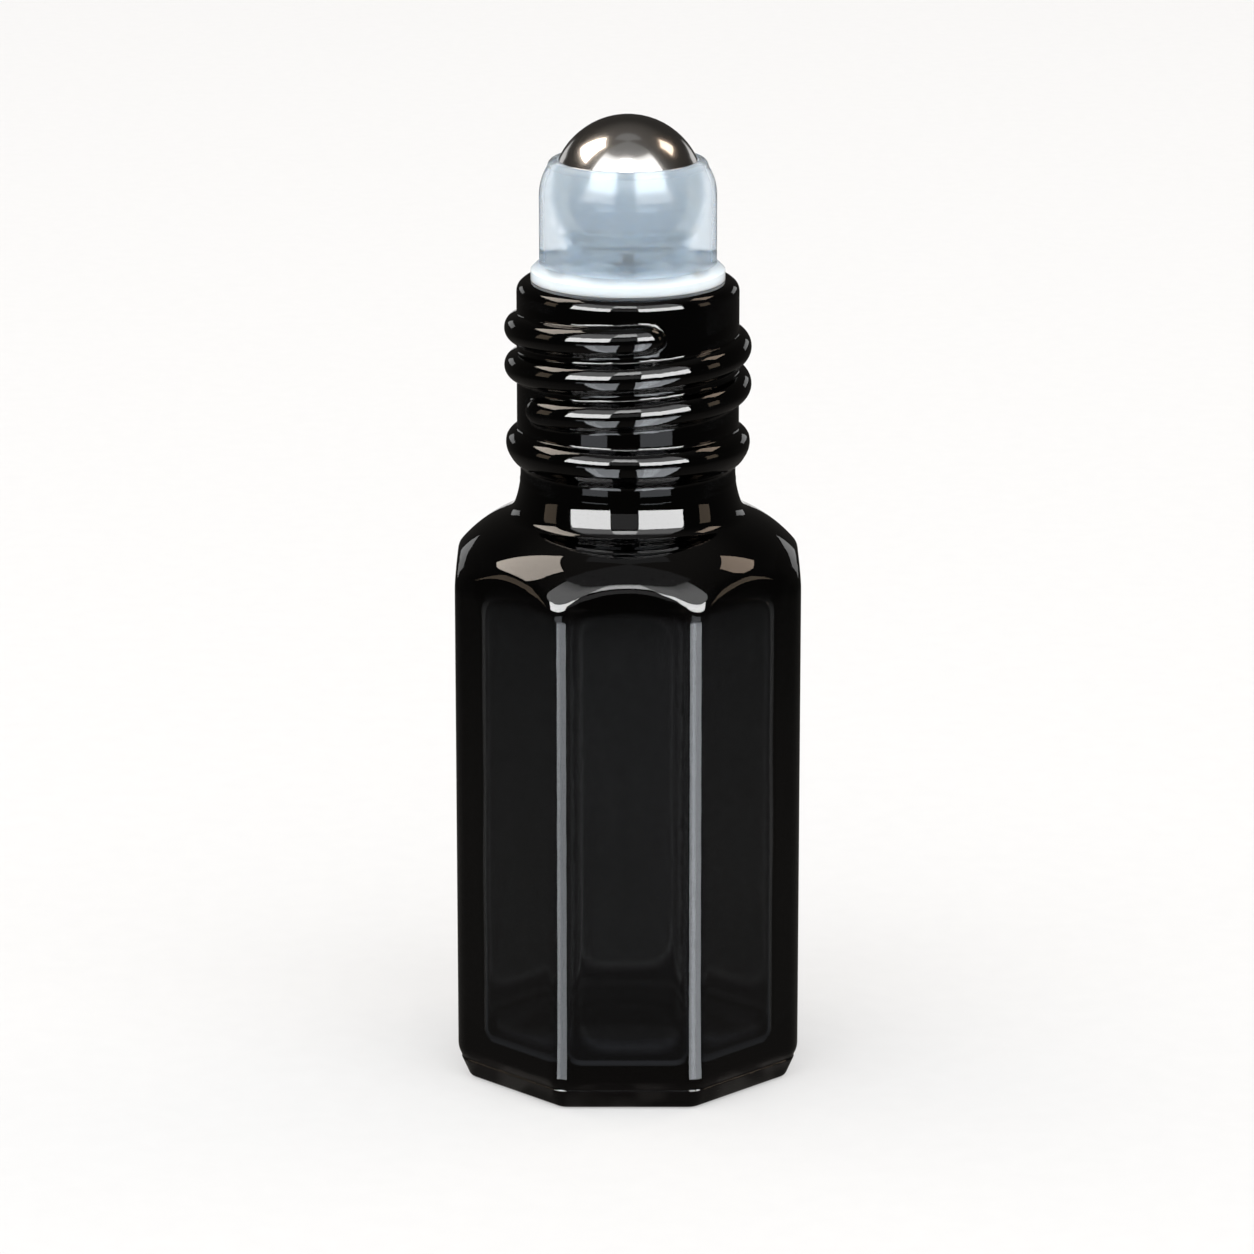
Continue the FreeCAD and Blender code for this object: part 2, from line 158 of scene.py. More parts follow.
def octagon_reach(angles, reach, corner):
    """Distance from the axis to a rounded octagon with that flat reach, at each angle."""
    half = math.pi / SIDES
    off_flat = np.abs((angles + half) % (2 * half) - half)
    off_corner = half - off_flat
    centre = (reach - corner) / math.cos(half)
    flat = reach / np.cos(off_flat)
    arc = centre * np.cos(off_corner)
    arc = arc + np.sqrt(np.maximum(corner ** 2 - (centre * np.sin(off_corner)) ** 2, 0))
    on_flat = reach * np.tan(off_flat) < (reach - corner) * math.tan(half)
    return np.where(on_flat, flat, arc)


def column_angles():
    """The angles of the mesh's columns, from -Y round through +X."""
    side = math.tau / SIDES
    corner = np.arange(CORNER_COLUMNS) / CORNER_COLUMNS * CORNER_SPAN - CORNER_SPAN / 2
    flat = np.arange(FLAT_COLUMNS) / FLAT_COLUMNS * (side - CORNER_SPAN) + CORNER_SPAN / 2
    one_side = np.concatenate([corner, flat]) + side / 2
    return np.concatenate([one_side + side * index for index in range(SIDES)])


def ridge(distance, half, stand):
    """Height of a half-round ridge at a distance from its middle line."""
    curve = (half ** 2 + stand ** 2) / (2 * stand)
    return np.sqrt(np.maximum(curve ** 2 - distance ** 2, 0)) - (curve - stand)


def neck_reach(angles, level):
    """Outer reach of the neck: the flare at its foot, a mould seam, the transfer bead and the thread."""
    above = np.clip((level - BEAD_LEVEL) / BEAD_HALF + 0.5, 0, 1)
    wall = NECK_REACH + (FINISH_REACH - NECK_REACH) * above
    below = np.maximum(FLARE_LEVEL - level, 0)
    wall = wall + FLARE_ROUND - np.sqrt(FLARE_ROUND ** 2 - below ** 2)
    wall = wall + SEAM_STAND * np.exp(-((level - SEAM_LEVEL) / SEAM_HALF) ** 2)
    relief = ridge(level - BEAD_LEVEL, BEAD_HALF, BEAD_STAND)
    turned = (angles + math.pi) % math.tau - math.pi
    first = math.floor(THREAD_START / math.tau)
    last = math.ceil(THREAD_END / math.tau)
    for turn in range(first, last + 1):
        along = turned + math.tau * turn
        held = np.clip(along, THREAD_START, THREAD_END)
        middle = LIP_LEVEL - THREAD_END_DROP - (THREAD_END - held) * THREAD_PITCH / math.tau
        past = (along - held) * FINISH_REACH / THREAD_NOSE
        distance = np.hypot(level - middle, past)
        relief = np.maximum(relief, ridge(distance, THREAD_HALF, THREAD_STAND))
    return wall + smooth_most(relief, 0 * relief, RIDGE_BLEND)


def neck_rings(angles, low, high, count):
    """Rings over the neck, evenly spaced along the outline of each column."""
    fine = np.linspace(low, high, 1600)[:, None]
    reach = neck_reach(angles[None, :], fine)
    spans = np.hypot(np.diff(reach, axis=0), np.diff(fine, axis=0))
    run = np.concatenate([np.zeros((1, len(angles))), np.cumsum(spans, axis=0)])
    share = np.arange(1, count + 1) / count
    levels = np.empty((count, len(angles)))
    for column in range(len(angles)):
        levels[:, column] = np.interp(share * run[-1, column], run[:, column], fine[:, 0])
    return neck_reach(angles[None, :], levels), levels


def octagon_inset(angles, reach, corner, inset):
    """The rounded octagon drawn in by an inset, one ring for each inset."""
    return np.concatenate([octagon_reach(angles, reach - one, max(corner - one, REST_ROUND))[None, :]
                           for one in np.ravel(inset)])


def outside_rings(angles):
    """Rings up the outside of the glass, from the middle of the base to the lip."""
    whole = np.ones((1, len(angles)))
    t = steps(8)
    yield PUSHUP_REACH * t * whole, PUSHUP_DEPTH * (1 - t ** 2) * whole

    # standing face, its rounded edge and the bevel up to the parting line
    rise = math.atan2(PARTING_LEVEL, PARTING_REACH - FOOT_REACH)
    rest_inset = FLAT_REACH - FOOT_REACH + REST_ROUND * math.tan(rise / 2)
    t = steps(4)
    edge = octagon_inset(angles, FLAT_REACH, CORNER_ROUND, [rest_inset])
    yield PUSHUP_REACH + (edge - PUSHUP_REACH) * t, 0 * t * whole
    t = steps(6)
    turn = rise * t
    inset = rest_inset - REST_ROUND * np.sin(turn)
    level = REST_ROUND * (1 - np.cos(turn))
    yield octagon_inset(angles, FLAT_REACH, CORNER_ROUND, inset), level * whole
    low_inset = inset[-1, 0]
    low_level = level[-1, 0]
    high_inset = FLAT_REACH - PARTING_REACH
    t = steps(6)
    inset = low_inset + (high_inset - low_inset) * t
    level = low_level + (PARTING_LEVEL - PARTING_FIN - low_level) * t
    yield octagon_inset(angles, FLAT_REACH, CORNER_ROUND, inset), level * whole
    # parting line: a fine fin left where the base mould met the body mould
    t = steps(4)
    inset = high_inset - PARTING_FIN * np.sin(math.pi * t) ** 2 / 2
    level = PARTING_LEVEL - PARTING_FIN + 2 * PARTING_FIN * t
    yield octagon_inset(angles, FLAT_REACH, CORNER_ROUND, inset), level * whole
    # the heel turns up into the flats
    t = steps(8)
    inset = high_inset * (1 - t) ** 2
    level = PARTING_LEVEL + PARTING_FIN + (HEEL_TOP - PARTING_LEVEL - PARTING_FIN) * t
    yield octagon_inset(angles, FLAT_REACH, CORNER_ROUND, inset), level * whole

    # flats
    column = octagon_reach(angles, FLAT_REACH, CORNER_ROUND)[None, :]
    arch_foot = math.radians(12)
    t = steps(10)
    arch_level = DOME_LEVEL + DOME_ROUND * math.sin(arch_foot)
    level = HEEL_TOP + (arch_level - HEEL_TOP) * t
    yield column * np.ones_like(t), level * whole
    # domed shoulder, which leaves an arch on each flat
    t = steps(60)
    turn = arch_foot + (DOME_END - arch_foot) * t
    dome = DOME_CENTRE + DOME_ROUND * np.cos(turn) * whole
    level = DOME_LEVEL + DOME_ROUND * np.sin(turn)
    lean = ARCH_LEAN * np.clip((level - ARCH_LEAN_FOOT) / (ARCH_LEAN_TOP - ARCH_LEAN_FOOT), 0, 1.5) ** 2
    yield smooth_least(column - lean, dome, ARCH_SOFTNESS), level * whole
    # hollow sweep into the neck
    t = steps(12)
    turn = DOME_END + (FLARE_END - DOME_END) * t
    reach = SWEEP_CENTRE - NECK_SWEEP * np.cos(turn)
    level = SWEEP_LEVEL - NECK_SWEEP * np.sin(turn)
    yield reach * whole, level * whole
    yield neck_rings(angles, FLARE_FOOT, LIP_LEVEL - LIP_ROUND, NECK_RINGS)
    # lip and mouth
    t = steps(10)
    turn = math.pi / 2 * t
    reach = FINISH_REACH - LIP_ROUND * (1 - np.cos(turn))
    yield reach * whole, (LIP_LEVEL - LIP_ROUND + (LIP_ROUND - LIP_GAP) * np.sin(turn)) * whole
    t = steps(3)
    lip_inside = BORE_REACH + MOUTH_ROUND
    reach = FINISH_REACH - LIP_ROUND + (lip_inside - FINISH_REACH + LIP_ROUND) * t
    yield reach * whole, (LIP_LEVEL - LIP_GAP) * np.ones_like(t) * whole


def inside_rings(angles):
    """Rings down the inside of the glass, from the mouth to the middle of the cavity's floor."""
    whole = np.ones((1, len(angles)))
    t = steps(5)
    turn = math.pi / 2 * t
    reach = BORE_REACH + MOUTH_ROUND * (1 - np.sin(turn))
    level = LIP_LEVEL - LIP_GAP - MOUTH_ROUND * (1 - np.cos(turn))
    yield reach * whole, level * whole
    across = BORE_REACH + INSIDE_SWEEP - DOME_CENTRE
    dome_end = math.acos(across / (INSIDE_DOME_ROUND + INSIDE_SWEEP))
    sweep_level = INSIDE_DOME_LEVEL + (INSIDE_DOME_ROUND + INSIDE_SWEEP) * math.sin(dome_end)
    t = steps(12)
    high = LIP_LEVEL - LIP_GAP - MOUTH_ROUND
    yield BORE_REACH * np.ones_like(t) * whole, (high + (sweep_level - high) * t) * whole
    t = steps(8)
    turn = dome_end * t
    reach = BORE_REACH + INSIDE_SWEEP * (1 - np.cos(turn))
    level = sweep_level - INSIDE_SWEEP * np.sin(turn)
    yield reach * whole, level * whole
    # under the shoulder
    column = octagon_reach(angles, INSIDE_REACH, INSIDE_CORNER)[None, :]
    t = steps(30)
    turn = dome_end * (1 - t)
    dome = DOME_CENTRE + INSIDE_DOME_ROUND * np.cos(turn) * whole
    level = INSIDE_DOME_LEVEL + INSIDE_DOME_ROUND * np.sin(turn)
    yield smooth_least(column, dome, INSIDE_SOFTNESS), level * whole
    # the cavity's walls, blown and so a little wavy
    t = steps(60)
    high = INSIDE_DOME_LEVEL
    low = INSIDE_FLOOR + FLOOR_ROUND
    level = (high + (low - high) * t) * whole
    last = smooth_least(column, (DOME_CENTRE + INSIDE_DOME_ROUND) * whole, INSIDE_SOFTNESS)
    fade = np.sin(math.pi * t) ** 0.5
    wave = np.sin(2 * angles + 420 * level) + 0.6 * np.sin(3 * angles - 700 * level + 1.3)
    yield last * (1 - t) + column * t + BLOWN_WAVE * fade * wave / 2, level
    # round the foot and across the floor
    t = steps(16)
    turn = math.pi / 2 * t
    inset = FLOOR_ROUND * (1 - np.cos(turn))
    level = INSIDE_FLOOR + FLOOR_ROUND * (1 - np.sin(turn))
    yield octagon_inset(angles, INSIDE_REACH, INSIDE_CORNER, inset), level * whole
    floor = octagon_inset(angles, INSIDE_REACH, INSIDE_CORNER, [FLOOR_ROUND])
    t = steps(9)[:-1]
    yield floor * (1 - t), INSIDE_FLOOR * np.ones_like(t) * whole


def window_painted_light(places):
    """Painted light for the inside's tint: half in each flat's window, full along its rim as a painted
    light outline, none at the corners, which stay in painted shade, and a low painted level on the
    floor.
    """
    side = math.tau / SIDES
    angles = np.arctan2(places[:, 0], -places[:, 1])
    off_flat = (angles + side / 2) % side - side / 2
    along = np.abs(np.hypot(places[:, 0], places[:, 1]) * np.sin(off_flat) - WINDOW_SHIFT)
    level = places[:, 2]
    across = along - WINDOW_HALF + WINDOW_ROUND
    up = np.abs(level - (WINDOW_HEAD + WINDOW_FOOT) / 2) - (WINDOW_HEAD - WINDOW_FOOT) / 2 + WINDOW_ROUND
    past = np.hypot(np.maximum(across, 0), np.maximum(up, 0)) + np.minimum(np.maximum(across, up), 0)
    past = past - WINDOW_ROUND
    rim = np.exp(-((past + WINDOW_RIM_IN) / WINDOW_RIM) ** 2)
    # painted shade: the window darkens under the arch
    arch_shade = np.clip((WINDOW_HEAD - level) / WINDOW_SHADE_SPAN, HEAD_PAINTED_SHADE, 1)
    inner = np.clip(1 - past / WINDOW_FADE, 0, 1) * arch_shade
    painted_light = WINDOW_PAINTED_LEVEL * inner + (1 - WINDOW_PAINTED_LEVEL) * rim
    return np.where(level < INSIDE_FLOOR + REST_ROUND, FLOOR_PAINTED_LEVEL, painted_light)


def closed_turning(name, angles, rings, low_pole, high_pole):
    """A closed mesh through rings of (reach, level), with a point at each end on the axis."""
    reach = np.concatenate([part[0] for part in rings])
    level = np.concatenate([part[1] for part in rings])
    count = len(angles)
    x = reach * np.sin(angles)
    y = -reach * np.cos(angles)
    points = np.stack([x, y, level], axis=-1).reshape(-1, 3)
    points = [(0, 0, low_pole), *map(tuple, points), (0, 0, high_pole)]
    faces = []
    ring_count = len(reach)
    for column in range(count):
        following = (column + 1) % count
        faces.append((0, 1 + following, 1 + column))
        for ring in range(ring_count - 1):
            here = 1 + ring * count
            above = here + count
            faces.append((here + column, here + following, above + following, above + column))
        top = 1 + (ring_count - 1) * count
        faces.append((top + column, top + following, len(points) - 1))
    mesh = bpy.data.meshes.new(name)
    mesh.from_pydata(points, [], faces)
    mesh.shade_smooth()
    piece = bpy.data.objects.new(name, mesh)
    bpy.context.scene.collection.objects.link(piece)
    return piece


def linear(colour, alpha=1.0):
    """An sRGB hex colour as linear red, green, blue and alpha."""
    parts = [int(colour[index:index + 2], 16) / 255 for index in (1, 3, 5)]
    return (*[part / 12.92 if part <= 0.04045 else ((part + 0.055) / 1.055) ** 2.4 for part in parts],
            alpha)


def add_node(material, kind, sockets=None, links=None, **settings):
    """Add a node, set its properties and sockets, and link its inputs."""
    tree = material.node_tree
    node = tree.nodes.new(kind)
    for name, value in settings.items():
        setattr(node, name, value)
    for socket, value in (sockets or {}).items():
        node.inputs[socket].default_value = value
    for socket, source in (links or {}).items():
        tree.links.new(source, node.inputs[socket])
    return node


def new_material(name):
    material = bpy.data.materials.new(name)
    material.use_nodes = True
    material.node_tree.nodes.clear()
    return material


def black_glass():
    """Container glass melted nearly opaque: a thick wall is black, a thin one a dark window."""
    material = new_material("black_container_glass")
    place = add_node(material, "ShaderNodeTexCoord").outputs["Object"]
    # moulded glass is never quite flat: slow swells about 6 mm long
    swell = add_node(material, "ShaderNodeTexNoise", {"Scale": 1 / (6 * MM), "Detail": 1.0},
                     {"Vector": place})
    bump = add_node(material, "ShaderNodeBump", {"Strength": 0.12, "Distance": 0.05 * MM},
                    {"Height": swell.outputs["Fac"]})
    # handling leaves a faint haze, in patches of a few millimetres
    haze = add_node(material, "ShaderNodeTexNoise", {"Scale": 1 / (3 * MM), "Detail": 4.0},
                    {"Vector": place})
    rough = add_node(material, "ShaderNodeMapRange",
                     {"From Min": 0.35, "From Max": 0.75, "To Min": 0.012, "To Max": 0.04},
                     {"Value": haze.outputs["Fac"]})
    # the inside was blown, not press-moulded: its skin is finely rippled in upright streaks
    streak_place = add_node(material, "ShaderNodeMapping", {"Scale": (1, 1, 0.12)}, {"Vector": place})
    streak = add_node(material, "ShaderNodeTexNoise", {"Scale": 1 / (0.8 * MM), "Detail": 3.0},
                      {"Vector": streak_place.outputs["Vector"]})
    dull = add_node(material, "ShaderNodeMapRange",
                    {"From Min": 0.35, "From Max": 0.65, "To Min": 0.03, "To Max": 0.08},
                    {"Value": streak.outputs["Fac"]})
    side = add_node(material, "ShaderNodeAttribute", attribute_name="blown_inside")
    skin = add_node(material, "ShaderNodeMix", None,
                    {"Factor": side.outputs["Fac"], "A": rough.outputs["Result"],
                     "B": dull.outputs["Result"]})
    # painted shade: the glass's tint darkens over the top of the dome and up the neck, whose glass wraps
    # a milky plug, so that no light from the plug shows there
    parts = add_node(material, "ShaderNodeSeparateXYZ", None, {"Vector": place})
    neck_shade_rise = add_node(material, "ShaderNodeMapRange",
                       {"From Min": DOME_TOP - 5.5 * MM, "From Max": DOME_TOP - 1.2 * MM},
                       {"Value": parts.outputs["Z"]}, interpolation_type="SMOOTHSTEP")
    clear = add_node(material, "ShaderNodeValToRGB", None, {"Fac": neck_shade_rise.outputs["Result"]})
    clear.color_ramp.elements[0].color = linear("#f4f6f8")
    clear.color_ramp.elements[1].color = linear("#303234")
    # painted light and shade in the inside's tint: each flat's window is grey with a light rim as a
    # painted outline, and the corners between them are in dark painted shade
    painted_light = add_node(material, "ShaderNodeAttribute", attribute_name="window_painted_light")
    window = add_node(material, "ShaderNodeValToRGB", None, {"Fac": painted_light.outputs["Fac"]})
    window.color_ramp.elements[0].color = linear("#2a2b2d")
    window.color_ramp.elements[1].color = linear("#ffffff")
    window.color_ramp.elements.new(WINDOW_PAINTED_LEVEL).color = linear("#999a9c")
    tint = add_node(material, "ShaderNodeMix", {"Factor": 1.0},
                    {6: clear.outputs["Color"], 7: window.outputs["Color"]},
                    data_type="RGBA", blend_type="MULTIPLY")
    surface = add_node(material, "ShaderNodeBsdfPrincipled",
                       {"IOR": 1.52, "Transmission Weight": 1.0, "Specular IOR Level": 0.6},
                       {"Base Color": tint.outputs[2], "Roughness": skin.outputs["Result"],
                        "Normal": bump.outputs["Normal"]})
    smoke = add_node(material, "ShaderNodeVolumeAbsorption",
                     {"Color": linear("#08080a"), "Density": 745.0})
    add_node(material, "ShaderNodeOutputMaterial", None,
             {"Surface": surface.outputs["BSDF"], "Volume": smoke.outputs["Volume"]})
    return material


def natural_polyethylene():
    """Unpigmented moulded polyethylene: the cup is clear enough to show the ball, milky below it."""
    material = new_material("natural_polyethylene")
    place = add_node(material, "ShaderNodeTexCoord").outputs["Object"]
    cloud = add_node(material, "ShaderNodeTexNoise", {"Scale": 1 / (2 * MM), "Detail": 3.0},
                     {"Vector": place})
    tint = add_node(material, "ShaderNodeValToRGB", None, {"Fac": cloud.outputs["Fac"]})
    tint.color_ramp.elements[0].color = linear("#dce8f3")
    tint.color_ramp.elements[1].color = linear("#ebf3f9")
    grain = add_node(material, "ShaderNodeTexNoise", {"Scale": 1 / (0.25 * MM), "Detail": 2.0},
                     {"Vector": place})
    bump = add_node(material, "ShaderNodeBump", {"Strength": 0.15, "Distance": 0.01 * MM},
                    {"Height": grain.outputs["Fac"]})
    # the flange and the plug are thick, and scatter more of the light than the cup's wall does
    parts = add_node(material, "ShaderNodeSeparateXYZ", None, {"Vector": place})
    clear = add_node(material, "ShaderNodeMapRange",
                     {"From Min": LIP_LEVEL + 0.3 * MM, "From Max": LIP_LEVEL + 1.2 * MM,
                      "To Min": 0.15, "To Max": 0.88},
                     {"Value": parts.outputs["Z"]}, interpolation_type="SMOOTHSTEP")
    surface = add_node(material, "ShaderNodeBsdfPrincipled",
                       {"Roughness": 0.14, "IOR": 1.12, "Subsurface Weight": 1.0,
                        "Coat Weight": 0.2, "Coat Roughness": 0.12,
                        "Subsurface Radius": (1.0, 1.1, 1.2), "Subsurface Scale": 0.5 * MM},
                       {"Base Color": tint.outputs["Color"], "Normal": bump.outputs["Normal"],
                        "Transmission Weight": clear.outputs["Result"]})
    add_node(material, "ShaderNodeOutputMaterial", None, {"Surface": surface.outputs["BSDF"]})
    return material


def polished_steel():
    """Stainless steel lapped to a mirror: warm grey, with fine scuffs that only soften the gloss."""
    material = new_material("polished_stainless_steel")
    place = add_node(material, "ShaderNodeTexCoord").outputs["Object"]
    scuff = add_node(material, "ShaderNodeTexNoise", {"Scale": 1 / (0.4 * MM), "Detail": 5.0},
                     {"Vector": place})
    rough = add_node(material, "ShaderNodeMapRange",
                     {"From Min": 0.4, "From Max": 0.7, "To Min": 0.03, "To Max": 0.075},
                     {"Value": scuff.outputs["Fac"]})
    surface = add_node(material, "ShaderNodeBsdfPrincipled",
                       {"Base Color": linear("#b9b5b0"), "Metallic": 1.0, "Roughness": 0.2,
                        "Coat Weight": 1.0, "Coat IOR": 2.6},
                       {"Coat Roughness": rough.outputs["Result"]})
    add_node(material, "ShaderNodeOutputMaterial", None, {"Surface": surface.outputs["BSDF"]})
    return material


# Studio. Azimuths run from the camera's side (-Y) round to the right (+X).
SHEET_REACH = 3.0
STUDIO_REACH = 2.6
ROOM_REACH = 0.9 * STUDIO_REACH
FLOOR_DROP = 0.03 * MM
LIGHT_DISTANCE = 1.2
BACKGROUND_SHARE = 0.4
FLAG_HALF_TURN = 172
ROOM_HALF_TURN = 100


def heading(azimuth, elevation=0.0):
    """Unit direction from the object at an azimuth and elevation in degrees."""
    turn = math.radians(azimuth)
    rise = math.radians(elevation)
    return Vector((math.sin(turn) * math.cos(rise), -math.cos(turn) * math.cos(rise), math.sin(rise)))


def softbox(name, azimuth, elevation, wide, tall, radiance, colour="#ffffff"):
    """An area light that faces the object, sized by the angles that it fills."""
    light = bpy.data.lights.new(name, "AREA")
    light.shape = "RECTANGLE"
    light.size = 2 * LIGHT_DISTANCE * math.tan(math.radians(wide) / 2)
    light.size_y = 2 * LIGHT_DISTANCE * math.tan(math.radians(tall) / 2)
    light.energy = radiance * math.pi * light.size * light.size_y
    light.color = linear(colour)[:3]
    lamp = bpy.data.objects.new(name, light)
    middle = Vector((0, 0, LIP_LEVEL * 0.7))
    toward = heading(azimuth, elevation)
    lamp.location = middle + toward * LIGHT_DISTANCE
    lamp.rotation_euler = toward.to_track_quat("Z", "Y").to_euler()
    lamp.visible_camera = False
    lamp.visible_glossy = False
    bpy.context.scene.collection.objects.link(lamp)
    return lamp


def stage_mesh(name, points, faces, material):
    mesh = bpy.data.meshes.new(name)
    mesh.from_pydata(points, [], faces)
    mesh.materials.append(material)
    item = bpy.data.objects.new(name, mesh)
    bpy.context.scene.collection.objects.link(item)
    return item


def seen_background(material, shaded, kind="ShaderNodeEmission"):
    """White where a camera, mirror or window ray looks, kept a share plain so that shadows show."""
    path = add_node(material, "ShaderNodeLightPath")
    seen = add_node(material, "ShaderNodeMath", None,
                    {0: path.outputs["Is Camera Ray"], 1: path.outputs["Is Glossy Ray"]},
                    operation="MAXIMUM")
    seen = add_node(material, "ShaderNodeMath", None,
                    {0: seen.outputs[0], 1: path.outputs["Is Transmission Ray"]}, operation="MAXIMUM")
    share = add_node(material, "ShaderNodeMath", {1: BACKGROUND_SHARE}, {0: seen.outputs[0]},
                     operation="MULTIPLY")
    white = add_node(material, kind, {"Strength": 1.0})
    mixed = add_node(material, "ShaderNodeMixShader", None,
                     {0: share.outputs[0], 1: shaded, 2: white.outputs[0]})
    return mixed.outputs[0]


def make_floor():
    """A large pale sheet under the object."""
    material = new_material("pale_paper_sheet")
    place = add_node(material, "ShaderNodeTexCoord").outputs["Object"]
    grain = add_node(material, "ShaderNodeTexNoise", {"Scale": 1 / (1.5 * MM), "Detail": 2.0},
                     {"Vector": place})
    paper = add_node(material, "ShaderNodeValToRGB", None, {"Fac": grain.outputs["Fac"]})
    paper.color_ramp.elements[0].color = linear("#bebebe")
    paper.color_ramp.elements[1].color = linear("#c4c4c4")
    shaded = add_node(material, "ShaderNodeBsdfDiffuse", None, {"Color": paper.outputs["Color"]})
    surface = seen_background(material, shaded.outputs["BSDF"])
    add_node(material, "ShaderNodeOutputMaterial", None, {"Surface": surface})
    edge = SHEET_REACH
    corners = [(-edge, -edge), (edge, -edge), (edge, edge), (-edge, edge)]
    stage_mesh("paper_sheet", [(*corner, -FLOOR_DROP) for corner in corners], [(0, 1, 2, 3)], material)


def make_world():
    world = bpy.data.worlds.new("studio_air")
    bpy.context.scene.world = world
    world.use_nodes = True
    world.node_tree.nodes.clear()
    dim = add_node(world, "ShaderNodeBackground", {"Color": linear("#ffffff"), "Strength": 1.1})
    surface = seen_background(world, dim.outputs[0], "ShaderNodeBackground")
    add_node(world, "ShaderNodeOutputWorld", None, {"Surface": surface})


def make_dark_studio():
    """Black flags all round and above, which only reflections see: they keep black glass black. Their
    faint glow, stronger near the top and close to the bottle, is a painted reflection.
    """
    material = new_material("black_flags_painted_reflection")
    place = add_node(material, "ShaderNodeTexCoord").outputs["Object"]
    parts = add_node(material, "ShaderNodeSeparateXYZ", None, {"Vector": place})
    height = add_node(material, "ShaderNodeMapRange",
                      {"From Min": 0.6 * STUDIO_REACH, "From Max": STUDIO_REACH,
                       "To Min": 0.035, "To Max": 0.13},
                      {"Value": parts.outputs["Z"]}, interpolation_type="SMOOTHSTEP")
    # painted reflection of the lit paper: the flags' floor glows in patches within 11 mm of the bottle,
    # and faintly out to 140 mm
    span = add_node(material, "ShaderNodeVectorMath", None, {0: place}, operation="LENGTH")
    paper = add_node(material, "ShaderNodeMapRange",
                     {"From Min": 40 * MM, "From Max": 140 * MM, "To Min": 0.07, "To Max": 0.0},
                     {"Value": span.outputs["Value"]}, interpolation_type="SMOOTHSTEP")
    near = add_node(material, "ShaderNodeMapRange",
                    {"From Min": 10.0 * MM, "From Max": 11.0 * MM, "To Min": 0.12, "To Max": 0.0},
                    {"Value": span.outputs["Value"]})
    patch = add_node(material, "ShaderNodeTexNoise", {"Scale": 1 / (2.5 * MM), "Detail": 1.0},
                     {"Vector": place})
    patch = add_node(material, "ShaderNodeMapRange", {"From Min": 0.48, "From Max": 0.62},
                     {"Value": patch.outputs["Fac"]})
    both = add_node(material, "ShaderNodeMath", None,
                    {0: near.outputs["Result"], 1: patch.outputs["Result"],
                     2: paper.outputs["Result"]}, operation="MULTIPLY_ADD")
    both = add_node(material, "ShaderNodeMath", None,
                    {0: both.outputs[0], 1: height.outputs["Result"]}, operation="ADD")
    glow = add_node(material, "ShaderNodeEmission", {"Color": linear("#f3ece4")},
                    {"Strength": both.outputs[0]})
    add_node(material, "ShaderNodeOutputMaterial", None, {"Surface": glow.outputs[0]})
    flags = studio_shell("black_flags", STUDIO_REACH, FLAG_HALF_TURN, True, material)
    only_reflections(flags)


def make_grey_room():
    """The room in front, as the ball mirrors it through the milky housing."""
    material = new_material("dim_room_wall")
    place = add_node(material, "ShaderNodeTexCoord").outputs["Object"]
    parts = add_node(material, "ShaderNodeSeparateXYZ", None, {"Vector": place})
    height = add_node(material, "ShaderNodeMapRange",
                      {"From Min": 0.0, "From Max": 0.1 * STUDIO_REACH, "To Min": 0.72, "To Max": 0.85},
                      {"Value": parts.outputs["Z"]})
    glow = add_node(material, "ShaderNodeEmission", {"Color": linear("#e6eefa")},
                    {"Strength": height.outputs["Result"]})
    add_node(material, "ShaderNodeOutputMaterial", None, {"Surface": glow.outputs[0]})
    room = studio_shell("dim_room", ROOM_REACH, ROOM_HALF_TURN, False, material)
    only_reflections(room)
    room.visible_glossy = False
    room.visible_transmission = True


def studio_shell(name, reach, half_turn, closed, material):
    """A half sphere over the floor. Its floor, and its wall unless closed, stop at a half turn."""
    across = 48
    up = 16
    points = []
    for ring in range(up + 1):
        rise = math.pi / 2 * ring / up
        for column in range(across):
            turn = math.tau * column / across
            points.append((reach * math.cos(turn) * math.cos(rise),
                           reach * math.sin(turn) * math.cos(rise),
                           reach * math.sin(rise) - FLOOR_DROP / 2))
    points.append((0, 0, -FLOOR_DROP / 2))
    faces = []
    for column in range(across):
        following = (column + 1) % across
        azimuth = (column + 0.5) * 360 / across + 90
        behind = abs(azimuth % 360 - 180) < 180 - half_turn
        for ring in range(up):
            here = ring * across
            if closed or not behind:
                faces.append((here + column, here + following, here + across + following,
                              here + across + column))
        if not behind:
            faces.append((column, following, len(points) - 1))
    return stage_mesh(name, points, faces, material)


def only_reflections(item):
    item.visible_camera = False
    item.visible_diffuse = False
    item.visible_transmission = False
    item.visible_volume_scatter = False
    item.visible_shadow = False


def lit_panel(name, points, columns, colour, radiance, fade=None):
    """A glowing sheet in rows of points, which only reflections see. It may fade between two heights."""
    material = new_material(name)
    glow = add_node(material, "ShaderNodeEmission", {"Color": linear(colour), "Strength": radiance})
    if fade:
        place = add_node(material, "ShaderNodeTexCoord").outputs["Object"]
        parts = add_node(material, "ShaderNodeSeparateXYZ", None, {"Vector": place})
        height = add_node(material, "ShaderNodeMapRange",
                          {"From Min": fade[0], "From Max": fade[1], "To Min": radiance,
                           "To Max": 0.05 * radiance},
                          {"Value": parts.outputs["Z"]}, interpolation_type="SMOOTHSTEP")
        material.node_tree.links.new(height.outputs["Result"], glow.inputs["Strength"])
    add_node(material, "ShaderNodeOutputMaterial", None, {"Surface": glow.outputs[0]})
    faces = []
    for row in range(len(points) // columns - 1):
        for column in range(columns - 1):
            here = row * columns + column
            faces.append((here, here + 1, here + columns + 1, here + columns))
    panel = stage_mesh(name, points, faces, material)
    only_reflections(panel)
    return panel


